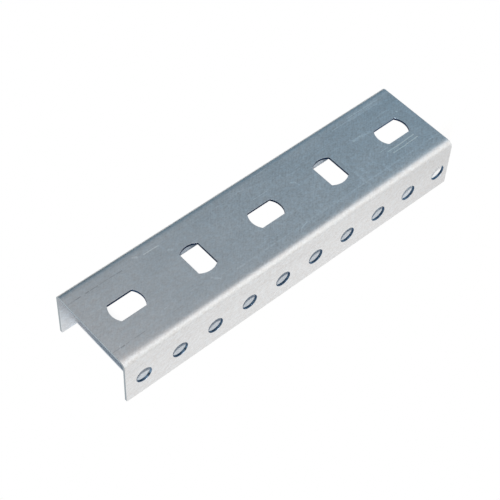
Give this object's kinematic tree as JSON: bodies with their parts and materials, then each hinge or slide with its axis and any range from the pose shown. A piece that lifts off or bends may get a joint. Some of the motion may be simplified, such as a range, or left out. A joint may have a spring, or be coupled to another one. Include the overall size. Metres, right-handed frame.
{
  "type": "u-channel profile",
  "caption": "Galvanised steel U channel folded from sheet, with double-D holes along its web and facing pairs of round bolt holes in its flanges, for framing and brackets.",
  "frame": {"origin": "middle of the footprint, at the level of the two flange edges that it stands on", "axes": "+X along the channel, +Y across the web, +Z from the flange edges to the web. The end with 25 mm of sheet to its first web hole centre is at -X"},
  "size_m": [0.2466, 0.06, 0.035],
  "materials": {
    "galvanised_steel": "galvanised, dull satin, faintly mottled, with fine forming lines and light scratches"
  },
  "bodies": {
    "root": {"u_channel": "galvanised_steel"}
  },
  "joints": []
}
